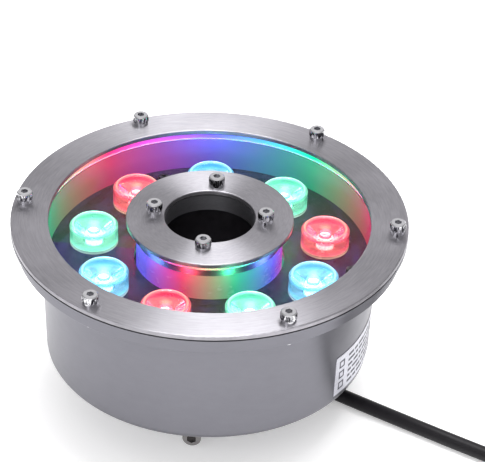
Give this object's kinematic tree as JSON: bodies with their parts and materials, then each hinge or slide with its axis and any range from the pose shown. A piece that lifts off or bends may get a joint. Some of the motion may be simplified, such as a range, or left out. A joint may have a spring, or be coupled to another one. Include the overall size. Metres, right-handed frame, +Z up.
{
  "type": "underwater pond light",
  "caption": "Ring-shaped stainless steel underwater light with coloured LED lenses under a glass ring, a centre hole and clamp collar for a fountain riser, and a supply cable.",
  "frame": {"origin": "on the lamp's axis, on the surface that the clamp collar stands on", "axes": "+Z up along the lamp's axis; -Y towards the front clamp screw; the cable leaves on the +X side"},
  "size_m": [0.3227, 0.18, 0.0992],
  "materials": {
    "steel": "satin brushed stainless steel",
    "ring_steel": "fine circular brushing",
    "polished_steel": "polished",
    "collar_steel": "turned",
    "glass": "clear tempered",
    "gasket": "matte black",
    "silicone": "translucent silicone",
    "board_black": "black solder mask",
    "aluminium": "plain",
    "lens_clear": "clear moulded",
    "holder_white": "translucent white",
    "emitter_red": "lit red",
    "emitter_green": "lit green",
    "emitter_blue": "lit blue",
    "driver_green": "solder mask",
    "capacitor": "sleeved can",
    "copper_coil": "enamelled wire",
    "black_steel": "black oxide",
    "zinc_steel": "zinc plated",
    "gland_brass": "nickel plated",
    "cable_black": "semi-matte black",
    "tie_black": "woven strap",
    "plug_black": "moulded",
    "pin_brass": "plated",
    "label_silver": "printed foil"
  },
  "bodies": {
    "lamp": {"housing_cup": "steel", "centre_tube": "steel", "hub_ring": "collar_steel", "clamp_collar": "collar_steel", "outer_press_ring": "ring_steel", "inner_press_ring": "ring_steel", "window_glass": "glass", "outer_top_gasket": "gasket", "inner_top_gasket": "gasket", "outer_seat_gasket": "silicone", "inner_seat_gasket": "silicone", "outer_screws": "polished_steel", "inner_screws": "polished_steel", "lock_washers": "polished_steel", "heat_plate": "aluminium", "led_board": "board_black", "board_brackets": "steel", "board_screws": "black_steel", "emitters_red": "emitter_red", "emitters_green": "emitter_green", "emitters_blue": "emitter_blue", "driver_board": "driver_green", "driver_spacers": "zinc_steel", "driver_screws": "zinc_steel", "driver_capacitors": "capacitor", "driver_inductor": "copper_coil", "internal_leads": "cable_black", "gland_body": "gland_brass", "gland_locknut": "gland_brass", "gland_seal": "gasket", "gland_cap": "gland_brass", "supply_cable": "cable_black", "cable_coil": "cable_black", "coil_ties": "tie_black", "cable_tail": "cable_black", "connector_body": "plug_black", "connector_pins": "pin_brass", "rating_label": "label_silver", "lens_1": "lens_clear", "lens_holder_1": "holder_white", "lens_2": "lens_clear", "lens_holder_2": "holder_white", "lens_3": "lens_clear", "lens_holder_3": "holder_white", "lens_4": "lens_clear", "lens_holder_4": "holder_white", "lens_5": "lens_clear", "lens_holder_5": "holder_white", "lens_6": "lens_clear", "lens_holder_6": "holder_white", "lens_7": "lens_clear", "lens_holder_7": "holder_white", "lens_8": "lens_clear", "lens_holder_8": "holder_white", "lens_9": "lens_clear", "lens_holder_9": "holder_white"},
    "clamp_1": {"clamp_screw_1": "polished_steel"},
    "clamp_2": {"clamp_screw_2": "polished_steel"},
    "clamp_3": {"clamp_screw_3": "polished_steel"}
  },
  "joints": [
    {"name": "clamp_slide_1", "type": "slide", "parent": "lamp", "child": "clamp_1", "axis": [0, 1, 0], "range_m": [-0.006, 0.015]},
    {"name": "clamp_slide_2", "type": "slide", "parent": "lamp", "child": "clamp_2", "axis": [-0.866, -0.5, 0], "range_m": [-0.006, 0.015]},
    {"name": "clamp_slide_3", "type": "slide", "parent": "lamp", "child": "clamp_3", "axis": [0.866, -0.5, 0], "range_m": [-0.006, 0.015]}
  ]
}
